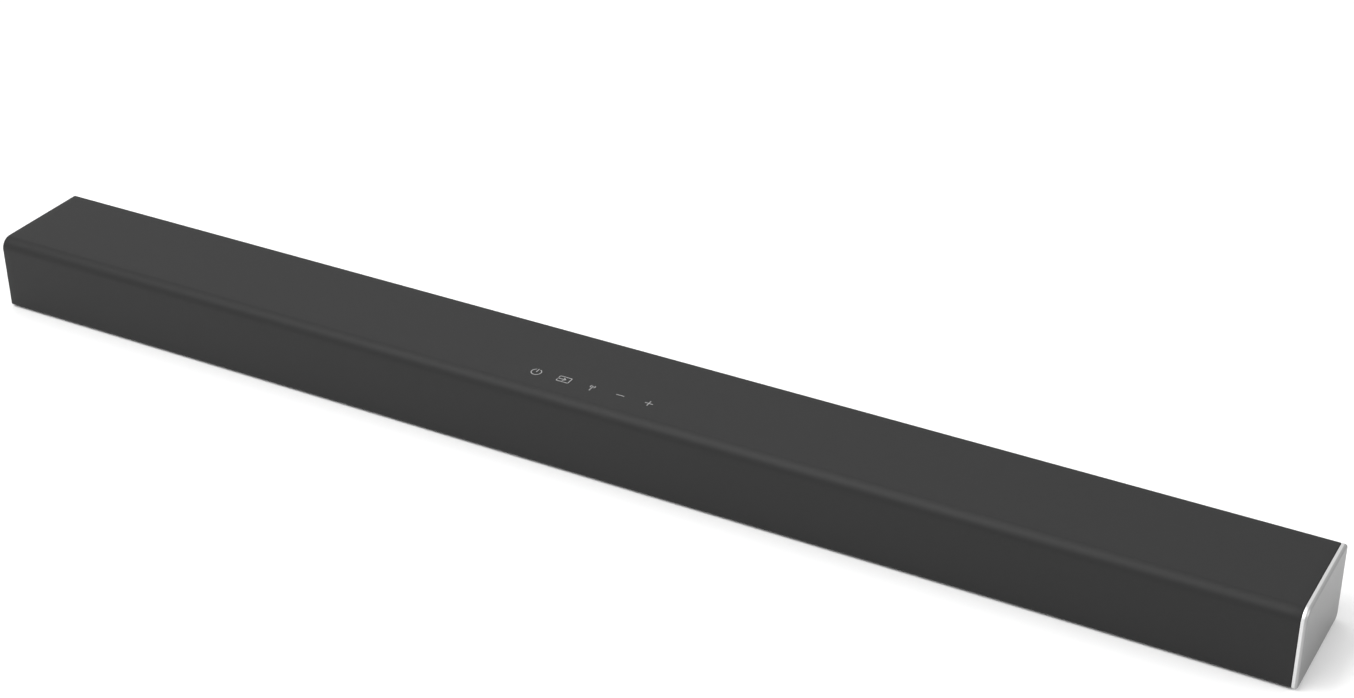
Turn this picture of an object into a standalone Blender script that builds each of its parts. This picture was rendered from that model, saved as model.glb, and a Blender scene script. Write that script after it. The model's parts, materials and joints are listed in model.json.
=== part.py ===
"""A 36-inch soundbar with its loudspeakers, keys, boards and sockets. Lengths are in metres.

X runs along the bar, the front faces -Y, and Z is up. The origin is on the surface that the bar
stands on, under its centre.
"""

import math

import bmesh
import bpy
from mathutils import Matrix, Vector

MM = 0.001
GAP = 0.3 * MM  # between pieces that touch

# The bar
LENGTH = 914.4 * MM
DEPTH = 77.2 * MM
BODY_HEIGHT = 51.1 * MM
FOOT_RISE = 1.2 * MM
FRONT_TOP_RADIUS = 8.0 * MM
BACK_TOP_RADIUS = 2.5 * MM
BACK_BOTTOM_RADIUS = 4.5 * MM
FRONT_BOTTOM_RADIUS = 1.5 * MM

# Skins and walls
FABRIC = 0.8 * MM
HOUSING_WALL = 2.0 * MM
COVER_WALL = 2.4 * MM
CAP_THICKNESS = 3.5 * MM
CAP_BEVEL_DEPTH = 1.8 * MM
CAP_BEVEL_INSET = 0.6 * MM
SPIGOT_WALL = 1.6 * MM
SPIGOT_LENGTH = 5.0 * MM
BAFFLE_WALL = 3.0 * MM
BOARD = 1.6 * MM

# Faces that the rest is placed from
LEFT = -LENGTH / 2
RIGHT = LENGTH / 2
FRONT = -DEPTH / 2
BACK = DEPTH / 2
BASE = FOOT_RISE
TOP = BASE + BODY_HEIGHT
MIDDLE_Z = (BASE + TOP) / 2
SLEEVE_RIGHT = RIGHT - CAP_THICKNESS - GAP
INNER_LEFT = LEFT + CAP_THICKNESS + GAP
HOUSING_INSET = FABRIC + GAP
HOUSING_INNER = HOUSING_INSET + HOUSING_WALL
FABRIC_END_Y = -26.0 * MM  # where the sleeve is tucked in, under the bar
FABRIC_END_Z = 38.0 * MM  # and on its back
SEAM = 0.6 * MM
COVER_FRONT_Y = FABRIC_END_Y + SEAM
COVER_TOP_Z = FABRIC_END_Z - SEAM
BAFFLE_Y = FRONT + 11.2 * MM  # the baffle's front face
BAFFLE_BACK_Y = BAFFLE_Y + BAFFLE_WALL

# Keys, in a row along the top
KEYS = ("power", "input", "wireless", "volume_down", "volume_up")
KEY_PITCH = 20.1 * MM
KEY_ROW_X = (LEFT + SLEEVE_RIGHT) / 2
KEY_ROW_Y = -16.4 * MM
KEY_HALF = 5.7 * MM
KEY_TRAVEL = 0.5 * MM
HOUSING_TOP = TOP - HOUSING_INSET
HOUSING_CEILING = TOP - HOUSING_INNER
KEY_BOARD_Z = 41.6 * MM
SWITCH_TOP = 45.2 * MM

# Loudspeakers
SPEAKER_X = 330.0 * MM
CHAMBER_X = 210.0 * MM
SOUND_SLOTS = 11
SOUND_SLOT_PITCH = 8.4 * MM
RING_POINTS = 16

# Sockets, all facing back out of one recess
TRAY_HALF_X = 68.0 * MM
TRAY_Z = (9.0 * MM, 34.0 * MM)
TRAY_WALL = 1.6 * MM
TRAY_FLOOR_Y = 26.6 * MM
TRAY_FLOOR = 2.0 * MM
SOCKET_FACE_Y = TRAY_FLOOR_Y + 0.6 * MM
MAIN_BOARD_Z = 12.0 * MM
SOCKET_Z = MAIN_BOARD_Z + BOARD + GAP
USB_X = -14.0 * MM
HDMI_X = 8.0 * MM
OPTICAL_X = 32.0 * MM
AUX_X = 50.0 * MM
MAINS_X = -48.0 * MM
MAINS_Z = 21.5 * MM

AUX_HALF = 3.5 * MM
AUX_COLLAR = 3.2 * MM
AUX_BORE = 1.8 * MM

# Boards
MAIN_BOARD_X = (-24.0 * MM, 130.0 * MM)
POWER_BOARD_X = (-200.0 * MM, -72.0 * MM)
BOARD_Y = (-13.0 * MM, 23.8 * MM)
POWER_BOARD_Z = 9.0 * MM
INDICATORS = 5
INDICATOR_X = -436.0 * MM
INDICATOR_PITCH = 5.5 * MM
INDICATOR_Z = 27.0 * MM
INDICATOR_BOARD_Y = (-32.9 * MM, -31.7 * MM)
IR_X = -404.0 * MM

# Fixings
FOOT_RADIUS = 8.0 * MM
FOOT_THICKNESS = 2.2 * MM
FOOT_X = 400.0 * MM
FOOT_Y = (-13.0 * MM, 25.0 * MM)
SCREW_X = (-435.0 * MM, -265.0 * MM, -90.0 * MM, 90.0 * MM, 265.0 * MM, 435.0 * MM)
SCREW_Y = -19.0 * MM
KEYHOLE_X = 300.0 * MM
KEYHOLE_Z = 22.0 * MM
PLATE_HALF_X = 13.0 * MM
PLATE_HALF_Z = 14.0 * MM
PLATE = 1.6 * MM

# Colour, roughness and metallic value of each material
MATERIALS = {
    "fabric": ((0.055, 0.055, 0.056), 0.95, 0.0),
    "silver": ((0.55, 0.55, 0.55), 0.35, 1.0),
    "black_plastic": ((0.018, 0.018, 0.019), 0.55, 0.0),
    "rubber": ((0.02, 0.02, 0.02), 0.8, 0.0),
    "steel": ((0.5, 0.5, 0.52), 0.35, 1.0),
    "magnet": ((0.06, 0.06, 0.065), 0.5, 0.6),
    "paper_cone": ((0.03, 0.03, 0.03), 0.85, 0.0),
    "spider_cloth": ((0.5, 0.32, 0.12), 0.9, 0.0),
    "foam": ((0.03, 0.03, 0.03), 0.95, 0.0),
    "circuit_board": ((0.01, 0.09, 0.04), 0.4, 0.0),
    "aluminium": ((0.75, 0.75, 0.76), 0.3, 1.0),
    "light_guide": ((0.8, 0.85, 0.85), 0.1, 0.0),
    "capacitor": ((0.02, 0.03, 0.08), 0.3, 0.0),
    "transformer": ((0.6, 0.42, 0.08), 0.5, 0.0),
    "wire": ((0.02, 0.02, 0.02), 0.5, 0.0),
    "wire_red": ((0.35, 0.02, 0.02), 0.5, 0.0),
    "ribbon": ((0.7, 0.7, 0.68), 0.5, 0.0),
}


# Making objects


def material_of(slot):
    """The named material, made the first time that it is asked for."""
    if slot in bpy.data.materials:
        return bpy.data.materials[slot]
    colour, roughness, metallic = MATERIALS[slot]
    material = bpy.data.materials.new(slot)
    material.use_nodes = True
    shader = material.node_tree.nodes["Principled BSDF"]
    shader.inputs["Base Color"].default_value = (*colour, 1.0)
    shader.inputs["Roughness"].default_value = roughness
    shader.inputs["Metallic"].default_value = metallic
    return material


def add_object(name, bm, slot=None, origin=(0, 0, 0)):
    """Turns a bmesh into an object whose origin is at the point given. With no slot it is a hidden helper."""
    bmesh.ops.translate(bm, vec=-Vector(origin), verts=bm.verts)
    bmesh.ops.recalc_face_normals(bm, faces=bm.faces)
    mesh = bpy.data.meshes.new(name)
    bm.to_mesh(mesh)
    bm.free()
    mesh.shade_smooth()
    mesh.set_sharp_from_angle(angle=math.radians(35))
    obj = bpy.data.objects.new(name, mesh)
    obj.location = origin
    bpy.context.collection.objects.link(obj)
    if slot is None:
        obj.hide_render = True
        obj.display_type = "WIRE"
    else:
        mesh.materials.append(material_of(slot))
    return obj


def boolean(obj, operation, helper):
    modifier = obj.modifiers.new(helper.name, "BOOLEAN")
    modifier.operation = operation
    modifier.object = helper
    return obj


def cut(obj, *cutters):
    for cutter in cutters:
        boolean(obj, "DIFFERENCE", cutter)


def join(obj, *helpers):
    for helper in helpers:
        boolean(obj, "UNION", helper)


# Shapes


def arc(centre, radius, start, end, steps):
    """Points of an arc in a plane, from the start angle to the end angle, in degrees."""
    points = []
    for step in range(steps + 1):
        angle = math.radians(start + (end - start) * step / steps)
        points.append((centre[0] + radius * math.cos(angle), centre[1] + radius * math.sin(angle)))
    return points


def skin(bm, rings, closed=False):
    """Joins rings of equal count. Open ends are filled, or a closed run joins its last ring to its first."""
    loops = [[bm.verts.new(point) for point in ring] for ring in rings]
    pairs = list(zip(loops, loops[1:]))
    if closed:
        pairs.append((loops[-1], loops[0]))
    for first, second in pairs:
        for i in range(len(first)):
            j = (i + 1) % len(first)
            bm.faces.new((first[i], first[j], second[j], second[i]))
    if not closed:
        bm.faces.new(loops[0])
        bm.faces.new(loops[-1])


def prism(bm, outline, low, high, axis="X"):
    """Extrudes an outline along an axis. It is given in (y, z) for X, (x, z) for Y and (x, y) for Z."""
    place = {
        "X": lambda a, b, along: (along, a, b),
        "Y": lambda a, b, along: (a, along, b),
        "Z": lambda a, b, along: (a, b, along),
    }[axis]
    skin(bm, [[place(a, b, along) for a, b in outline] for along in (low, high)])


def box(bm, x, y, z):
    """A box from its (low, high) pairs."""
    outline = [(x[0], y[0]), (x[1], y[0]), (x[1], y[1]), (x[0], y[1])]
    prism(bm, outline, z[0], z[1], "Z")


def disc(bm, centre, radius, low, high, axis="Z", steps=16):
    """A cylinder about a point of the plane across the axis."""
    prism(bm, arc(centre, radius, 0, 360 * (steps - 1) / steps, steps - 1), low, high, axis)


def rounded(centre, half, radius, steps=2):
    """A rectangle with round corners, from its half sizes."""
    points = []
    for start, side_a, side_b in ((0, 1, 1), (90, -1, 1), (180, -1, -1), (270, 1, -1)):
        corner = (
            centre[0] + side_a * (half[0] - radius),
            centre[1] + side_b * (half[1] - radius),
        )
        points += arc(corner, radius, start, start + 90, steps)
    return points


def oblong(x, z, y, half_length, half_height):
    """One ring of a loudspeaker: a round-ended oblong across Y, or a circle where both halves are equal."""
    ring = []
    for i in range(RING_POINTS):
        angle = 2 * math.pi * (i + 0.5) / RING_POINTS
        side = math.copysign(half_length - half_height, math.cos(angle))
        ring.append(
            (x + side + half_height * math.cos(angle), y, z + half_height * math.sin(angle))
        )
    return ring


def speaker_rings(x, profile):
    """Rings about a loudspeaker's centre, from (half length, half height, y) in millimetres."""
    return [oblong(x, MIDDLE_Z, y * MM, a * MM, b * MM) for a, b, y in profile]


def wrap_path(inset, end_y, end_z):
    """The bar's outline at an inset, from under the front edge, up and over, and down the back."""
    low = max(FRONT_BOTTOM_RADIUS - inset, GAP)
    front = max(FRONT_TOP_RADIUS - inset, GAP)
    back = max(BACK_TOP_RADIUS - inset, GAP)
    path = [(end_y, BASE + inset)]
    path += arc((FRONT + inset + low, BASE + inset + low), low, 270, 180, 3)
    path += arc((FRONT + inset + front, TOP - inset - front), front, 180, 90, 10)
    path += arc((BACK - inset - back, TOP - inset - back), back, 90, 0, 5)
    path.append((BACK - inset, end_z))
    return path


def cover_path(inset, start_z, end_y):
    """The rest of the outline at an inset: down the back, round the lower edge and in under the bar."""
    radius = max(BACK_BOTTOM_RADIUS - inset, GAP)
    path = [(BACK - inset, start_z)]
    path += arc((BACK - inset - radius, BASE + inset + radius), radius, 0, -90, 6)
    path.append((end_y, BASE + inset))
    return path


def whole_outline(inset):
    """The bar's full outline at an inset."""
    wrap = wrap_path(inset, 0, MIDDLE_Z)[1:-1]
    cover = cover_path(inset, MIDDLE_Z, 0)[1:-1]
    return wrap + cover


def smooth_route(points, steps):
    """Points along one smooth curve through a route."""
    points = [Vector(point) for point in points]
    ends = [2 * points[0] - points[1], *points, 2 * points[-1] - points[-2]]
    route = []
    for before, start, end, after in zip(ends, ends[1:], ends[2:], ends[3:]):
        for step in range(steps):
            t = step / steps
            route.append(
                0.5
                * (
                    2 * start
                    + (end - before) * t
                    + (2 * before - 5 * start + 4 * end - after) * t**2
                    + (3 * start - before - 3 * end + after) * t**3
                )
            )
    return [*route, points[-1]]


def wire(name, slot, radius, points, steps=1):
    """A round lead along a route given in millimetres."""
    route = smooth_route([Vector(point) * MM for point in points], steps)
    curve = bpy.data.curves.new(name, "CURVE")
    curve.dimensions = "3D"
    curve.bevel_depth = radius
    curve.bevel_resolution = 2
    curve.use_fill_caps = True
    spline = curve.splines.new("POLY")
    spline.points.add(len(route) - 1)
    for point, place in zip(spline.points, route):
        point.co = (*place, 1.0)
    curve.materials.append(material_of(slot))
    bpy.context.collection.objects.link(bpy.data.objects.new(name, curve))


# Outer pieces


def key_places():
    return [(KEY_ROW_X + (i - 2) * KEY_PITCH, KEY_ROW_Y) for i in range(len(KEYS))]


def make_fabric_sleeve():
    outer = wrap_path(0, FABRIC_END_Y, FABRIC_END_Z)
    inner = wrap_path(FABRIC, FABRIC_END_Y, FABRIC_END_Z)
    bm = bmesh.new()
    prism(bm, outer + inner[::-1], LEFT, SLEEVE_RIGHT)
    add_object("fabric_sleeve", bm, "fabric")


def make_front_housing():
    """The shell under the fabric: sound slots, key holes, indicator holes and two posts for the key board."""
    outer = wrap_path(HOUSING_INSET, COVER_FRONT_Y - GAP, COVER_TOP_Z + GAP)
    inner = wrap_path(HOUSING_INNER, COVER_FRONT_Y - GAP, COVER_TOP_Z + GAP)
    bm = bmesh.new()
    prism(bm, outer + inner[::-1], INNER_LEFT, SLEEVE_RIGHT)
    housing = add_object("front_housing", bm, "black_plastic")

    posts = bmesh.new()
    for x in (KEY_ROW_X - 55.5 * MM, KEY_ROW_X + 55.5 * MM):
        disc(posts, (x, KEY_ROW_Y), 2.5 * MM, KEY_BOARD_Z + BOARD + GAP, HOUSING_CEILING + 1.0 * MM)
    join(housing, add_object("key_board_posts", posts))

    cutters = bmesh.new()
    through = (FRONT - 1 * MM, FRONT + HOUSING_INNER + 1 * MM)
    for side in (-1, 1):
        for slot in range(SOUND_SLOTS):
            x = side * SPEAKER_X + (slot - (SOUND_SLOTS - 1) / 2) * SOUND_SLOT_PITCH
            half = SOUND_SLOT_PITCH * 0.34
            box(cutters, (x - half, x + half), through, (9.0 * MM, 43.5 * MM))
    hole = KEY_HALF + GAP
    for x, y in key_places():
        outline = rounded((x, y), (hole, hole), 2.3 * MM)
        prism(cutters, outline, HOUSING_CEILING - 1 * MM, TOP, "Z")
    for x in indicator_places():
        disc(cutters, (x, INDICATOR_Z), 1.6 * MM, *through, axis="Y", steps=12)
    box(cutters, (IR_X - 3.5 * MM, IR_X + 3.5 * MM), through, (INDICATOR_Z - 3 * MM, INDICATOR_Z + 3 * MM))
    cut(housing, add_object("housing_cutters", cutters))


def make_rear_cover():
    """Back and bottom in one shell, with board posts, screw pads and pockets behind the keyholes."""
    outer = cover_path(0, COVER_TOP_Z, COVER_FRONT_Y)
    inner = cover_path(COVER_WALL, COVER_TOP_Z, COVER_FRONT_Y)
    bm = bmesh.new()
    prism(bm, outer + inner[::-1], INNER_LEFT, SLEEVE_RIGHT)
    cover = add_object("rear_cover", bm, "black_plastic")

    additions = bmesh.new()
    floor = BASE + COVER_WALL - 0.5 * MM
    for x, y, top in board_posts():
        disc(additions, (x, y), 3.0 * MM, floor, top - GAP, steps=8)
    for x in SCREW_X:
        disc(additions, (x, SCREW_Y), 4.5 * MM, floor, 5.4 * MM, steps=12)
    for side in (-1, 1):
        x = side * KEYHOLE_X
        box(
            additions,
            (x - 15 * MM, x + 15 * MM),
            (26.5 * MM, BACK - 0.5 * MM),
            (KEYHOLE_Z - 16 * MM, KEYHOLE_Z + 14.5 * MM),
        )
    join(cover, add_object("cover_additions", additions))

    cutters = bmesh.new()
    box(
        cutters,
        (-TRAY_HALF_X - GAP, TRAY_HALF_X + GAP),
        (BACK - 5 * MM, BACK + 1 * MM),
        (TRAY_Z[0] - GAP, TRAY_Z[1] + GAP),
    )
    for x in SCREW_X:
        disc(cutters, (x, SCREW_Y), 3.3 * MM, 0, 3.4 * MM, steps=12)
    for x in (-FOOT_X, FOOT_X):
        for y in FOOT_Y:
            disc(cutters, (x, y), FOOT_RADIUS + GAP, 0, FOOT_THICKNESS + GAP, steps=20)
    for side in (-1, 1):
        x = side * KEYHOLE_X
        half_x = PLATE_HALF_X + GAP
        half_z = PLATE_HALF_Z + GAP
        box(
            cutters,
            (x - half_x, x + half_x),
            (BACK - PLATE - GAP, BACK + 1 * MM),
            (KEYHOLE_Z - half_z, KEYHOLE_Z + half_z),
        )
    cut(cover, add_object("cover_cutters", cutters))

    deeper = bmesh.new()
    for x in SCREW_X:
        disc(deeper, (x, SCREW_Y), 1.6 * MM, 1 * MM, 6 * MM, steps=8)
    for side in (-1, 1):
        x = side * KEYHOLE_X
        box(
            deeper,
            (x - 8 * MM, x + 8 * MM),
            (28.5 * MM, BACK),
            (KEYHOLE_Z - 11 * MM, KEYHOLE_Z + 11 * MM),
        )
    cut(cover, add_object("cover_deep_cutters", deeper))


def make_end_cap(name, side):
    """A slab with a shallow bevelled edge and a spigot that goes inside the housing.

    On the right it is as large as the bar. On the left the fabric covers its rim, all but behind and
    under the bar, where the cover meets it.
    """
    face_x = side * LENGTH / 2
    inner_x = face_x - side * CAP_THICKNESS
    bm = bmesh.new()
    if side > 0:
        insets = ((0, inner_x), (0, face_x - CAP_BEVEL_DEPTH), (CAP_BEVEL_INSET, face_x))
        skin(bm, [[(x, y, z) for y, z in whole_outline(inset)] for inset, x in insets])
    else:
        outline = wrap_path(HOUSING_INSET, COVER_FRONT_Y, COVER_TOP_Z)
        outline += cover_path(0, COVER_TOP_Z, COVER_FRONT_Y)
        prism(bm, outline, face_x, inner_x)
    cap = add_object(name, bm, "silver")

    spigot = bmesh.new()
    spigot_inset = HOUSING_INNER + GAP
    rings = []
    for inset in (spigot_inset, spigot_inset + SPIGOT_WALL):
        for x in (inner_x + side * 0.5 * MM, inner_x - side * SPIGOT_LENGTH):
            rings.append([(x, y, z) for y, z in whole_outline(inset)])
    skin(spigot, [rings[0], rings[1], rings[3], rings[2]], closed=True)
    join(cap, add_object(name + "_spigot", spigot))


def make_socket_tray():
    """The recess that the sockets look out of, with a flange behind the cover's wall."""
    bm = bmesh.new()
    box(bm, (-TRAY_HALF_X, TRAY_HALF_X), (TRAY_FLOOR_Y - TRAY_FLOOR, BACK), TRAY_Z)
    tray = add_object("socket_tray", bm, "black_plastic")
    flange = bmesh.new()
    box(flange, (-TRAY_HALF_X - 3 * MM, TRAY_HALF_X + 3 * MM), (34.4 * MM, 35.9 * MM), (6.0 * MM, 37.0 * MM))
    join(tray, add_object("tray_flange", flange))

    cutters = bmesh.new()
    box(
        cutters,
        (-TRAY_HALF_X + TRAY_WALL, TRAY_HALF_X - TRAY_WALL),
        (TRAY_FLOOR_Y, BACK + 1 * MM),
        (TRAY_Z[0] + TRAY_WALL, TRAY_Z[1] - TRAY_WALL),
    )
    cut(tray, add_object("tray_hollow", cutters))
    holes = bmesh.new()
    through = (TRAY_FLOOR_Y - TRAY_FLOOR - 1 * MM, TRAY_FLOOR_Y + 1 * MM)
    for outline in (hdmi_outline(GAP), usb_outline(GAP), optical_outline(GAP), mains_outline(GAP)):
        prism(holes, outline, *through, axis="Y")
    disc(holes, (AUX_X, SOCKET_Z + AUX_HALF), AUX_COLLAR + GAP, *through, axis="Y", steps=20)
    cut(tray, add_object("tray_holes", holes))


def make_keyhole_plate(name, x):
    """A steel plate with a round hole, for a screw head, that narrows to a slot above it."""
    bm = bmesh.new()
    outline = rounded((x, KEYHOLE_Z), (PLATE_HALF_X, PLATE_HALF_Z), 2.0 * MM)
    prism(bm, outline, BACK - PLATE, BACK, "Y")
    plate = add_object(name, bm, "steel")
    head, slot = 4.5 * MM, 2.5 * MM
    meeting = math.degrees(math.asin(slot / head))
    hole = arc((x, KEYHOLE_Z - 5 * MM), head, 90 + meeting, 450 - meeting, 18)
    hole += arc((x, KEYHOLE_Z + 7 * MM), slot, 0, 180, 8)
    cutter = bmesh.new()
    prism(cutter, hole, BACK - PLATE - 1 * MM, BACK + 1 * MM, "Y")
    cut(plate, add_object(name + "_cutter", cutter))


def make_foot(name, x, y):
    """A rubber disc with a rounded lower edge, half sunk in the cover."""
    edge = 0.5 * MM
    rings = []
    for radius, z in (
        (FOOT_RADIUS, FOOT_THICKNESS),
        (FOOT_RADIUS, edge),
        (FOOT_RADIUS - 0.3 * edge, 0.3 * edge),
        (FOOT_RADIUS - edge, 0),
    ):
        rings.append([(a, b, z) for a, b in arc((x, y), radius, 0, 342, 19)])
    bm = bmesh.new()
    skin(bm, rings)
    add_object(name, bm, "rubber")


def make_cover_screw(name, x):
    """A pan-head screw, up through the cover into the baffle's boss."""
    profile = ((1.9, 1.5), (2.8, 2.0), (2.8, 3.1), (1.3, 3.1), (1.3, 11.4), (0.5, 12.2))
    rings = []
    for radius, z in profile:
        rings.append([(a, b, z * MM) for a, b in arc((x, SCREW_Y), radius * MM, 0, 324, 9)])
    bm = bmesh.new()
    skin(bm, rings)
    screw = add_object(name, bm, "steel")
    long, short = 1.4 * MM, 0.35 * MM
    outline = []
    for turn in range(4):
        swing = Matrix.Rotation(turn * math.pi / 2, 2)
        for corner in ((short, -short), (long, -short), (long, short)):
            outline.append(swing @ Vector(corner) + Vector((x, SCREW_Y)))
    cross = bmesh.new()
    prism(cross, outline, 1.0 * MM, 2.4 * MM, "Z")
    cut(screw, add_object(name + "_cross", cross))


# Keys


def make_key(name, x, y):
    """A cap in the housing's hole, a flange that stops it under the wall, and a nib over its switch."""
    profile = (
        (1.7, 1.5, 46.0),
        (1.7, 1.5, 47.4),
        (7.0, 2.5, 47.4),
        (7.0, 2.5, 48.9),
        (5.7, 2.0, 48.9),
        (5.7, 2.0, 50.9),
        (5.4, 1.8, 51.2),
    )
    bm = bmesh.new()
    rings = []
    for half, radius, z in profile:
        outline = rounded((x, y), (half * MM, half * MM), radius * MM)
        rings.append([(a, b, z * MM) for a, b in outline])
    skin(bm, rings)
    add_object(name, bm, "black_plastic", origin=(x, y, HOUSING_TOP))


def make_key_board():
    low, high = KEY_ROW_X - 60 * MM, KEY_ROW_X + 60 * MM
    bm = bmesh.new()
    box(bm, (low, high), (-23.8 * MM, -6.0 * MM), (KEY_BOARD_Z, KEY_BOARD_Z + BOARD))
    board = add_object("key_board", bm, "circuit_board")
    switches = bmesh.new()
    stems = bmesh.new()
    base = KEY_BOARD_Z + BOARD - 0.2 * MM
    for x, y in key_places():
        box(switches, (x - 3 * MM, x + 3 * MM), (y - 3 * MM, y + 3 * MM), (base, SWITCH_TOP - 0.7 * MM))
        disc(stems, (x, y), 1.6 * MM, SWITCH_TOP - 1 * MM, SWITCH_TOP, steps=8)
    join(board, add_object("switch_bodies", switches), add_object("switch_stems", stems))


# Loudspeakers and their baffle


def make_baffle():
    """The wall that carries both loudspeakers, with a boss for each cover screw behind it."""
    bm = bmesh.new()
    box(bm, (-446 * MM, 446 * MM), (BAFFLE_Y, BAFFLE_BACK_Y), (4.6 * MM, 48.8 * MM))
    baffle = add_object("baffle_panel", bm, "black_plastic")
    bosses = bmesh.new()
    for x in SCREW_X:
        box(bosses, (x - 5 * MM, x + 5 * MM), (BAFFLE_BACK_Y - 1 * MM, -14 * MM), (5.7 * MM, 15 * MM))
    join(baffle, add_object("baffle_bosses", bosses))
    cutters = bmesh.new()
    for x in (-SPEAKER_X, SPEAKER_X):
        skin(cutters, speaker_rings(x, ((45.0, 18.6, -30), (45.0, 18.6, -20))))
    for x in SCREW_X:
        disc(cutters, (x, SCREW_Y), 1.7 * MM, 4 * MM, 13.5 * MM, steps=8)
    disc(cutters, (-396 * MM, 42 * MM), 3.0 * MM, -30 * MM, -20 * MM, axis="Y", steps=12)
    cut(baffle, add_object("baffle_cutters", cutters))


def make_chamber_wall(name, x, holes):
    """A wall across the bar that closes a loudspeaker's chamber, with holes for the leads."""
    corners = (
        (-24.1, 3.9),
        (34.5, 3.9),
        (35.9, 5.3),
        (35.9, 36.8),
        (35.1, 37.4),
        (35.1, 48.1),
        (34.3, 48.9),
        (-24.1, 48.9),
    )
    outline = [(y * MM, z * MM) for y, z in corners]
    bm = bmesh.new()
    prism(bm, outline, x - 1.5 * MM, x + 1.5 * MM)
    wall = add_object(name, bm, "black_plastic")
    cutters = bmesh.new()
    for y, z in holes:
        disc(cutters, (y * MM, z * MM), 2.0 * MM, x - 5 * MM, x + 5 * MM, axis="X", steps=12)
    cut(wall, add_object(name + "_holes", cutters))


def make_basket(name, x):
    """The loudspeaker's frame: flange, tapering bowl with windows, and the ring that the motor is fixed to."""
    profile = (
        (43.4, 17.4, -30.7),
        (50.0, 21.0, -30.7),
        (50.0, 21.0, -28.7),
        (44.4, 18.0, -28.7),
        (44.4, 18.0, -25.0),
        (24.0, 16.8, -12.0),
        (21.0, 16.5, -8.0),
        (13.0, 13.0, -8.0),
        (13.0, 13.0, -10.5),
        (17.5, 15.0, -10.5),
        (41.4, 15.4, -26.5),
        (41.4, 15.4, -29.1),
        (42.9, 16.9, -29.1),
    )
    bm = bmesh.new()
    skin(bm, speaker_rings(x, profile), closed=True)
    basket = add_object(name, bm, "steel")
    windows = bmesh.new()
    for side in (-1, 1):
        middle = x + side * 20 * MM
        box(windows, (middle - 6 * MM, middle + 6 * MM), (-22 * MM, -14.5 * MM), (0, TOP))
    cut(basket, add_object(name + "_windows", windows))


def make_motor(name, x):
    """Top plate, ring magnet, yoke and pole piece, with the round gap that the voice coil moves in."""
    profile = (
        (8.9, 8.9, -7.7),
        (8.9, 8.9, 1.5),
        (10.9, 10.9, 1.5),
        (10.9, 10.9, -7.7),
        (17.0, 17.0, -7.7),
        (17.0, 17.0, 5.3),
        (16.0, 16.0, 6.3),
    )
    bm = bmesh.new()
    skin(bm, speaker_rings(x, profile))
    add_object(name, bm, "magnet")


def make_cone(name, x):
    """Cone, dust cap and voice coil former in one moving piece."""
    profile = (
        (3.0, 3.0, -22.3),
        (7.5, 7.5, -21.1),
        (10.4, 10.4, -19.2),
        (22.0, 12.0, -24.4),
        (39.0, 13.0, -29.6),
        (39.0, 13.0, -28.9),
        (22.0, 12.0, -23.6),
        (10.0, 10.0, -18.2),
        (10.0, 10.0, -2.5),
        (9.3, 9.3, -2.5),
        (9.3, 9.3, -19.0),
        (7.0, 7.0, -20.4),
        (3.0, 3.0, -21.6),
    )
    bm = bmesh.new()
    skin(bm, speaker_rings(x, profile))
    add_object(name, bm, "paper_cone", origin=(x, -29.6 * MM, MIDDLE_Z))


def make_surround(name, x):
    """The half-round rubber edge between cone and basket."""
    section = [(0.4, -29.9), *arc((2.1, -29.9), 1.3, 180, 360, 4), (3.5, -29.9)]
    section += [(3.5, -29.4), *arc((2.1, -29.4), 0.8, 360, 180, 3), (0.4, -29.4)]
    bm = bmesh.new()
    skin(bm, speaker_rings(x, [(39 + d, 13 + d, y) for d, y in section]), closed=True)
    add_object(name, bm, "rubber")


def make_spider(name, x):
    """The corrugated ring that centres the voice coil."""
    front = ((10.4, -12.3), (11.4, -12.8), (12.4, -12.1), (13.4, -11.4), (14.6, -11.4))
    back = [(radius, y + 0.6) for radius, y in reversed(front)]
    bm = bmesh.new()
    skin(bm, speaker_rings(x, [(r, r, y) for r, y in [*front, *back]]), closed=True)
    add_object(name, bm, "spider_cloth")


def make_gasket(name, x):
    """The foam ring between flange and baffle."""
    profile = ((45.4, 19.0, -28.4), (49.6, 20.6, -28.4), (49.6, 20.6, -27.7), (45.4, 19.0, -27.7))
    bm = bmesh.new()
    skin(bm, speaker_rings(x, profile), closed=True)
    add_object(name, bm, "foam")


def make_loudspeaker(side, x):
    make_basket("basket_" + side, x)
    make_motor("motor_" + side, x)
    make_cone("cone_" + side, x)
    make_surround("surround_" + side, x)
    make_spider("spider_" + side, x)
    make_gasket("gasket_" + side, x)


# Boards and what is on them


def board_posts():
    """The place and the top of each post that holds up a board."""
    posts = []
    for ends, top in ((MAIN_BOARD_X, MAIN_BOARD_Z), (POWER_BOARD_X, POWER_BOARD_Z)):
        for x in (ends[0] + 6 * MM, ends[1] - 6 * MM):
            for y in (-8 * MM, 19 * MM):
                posts.append((x, y, top))
    return posts


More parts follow.
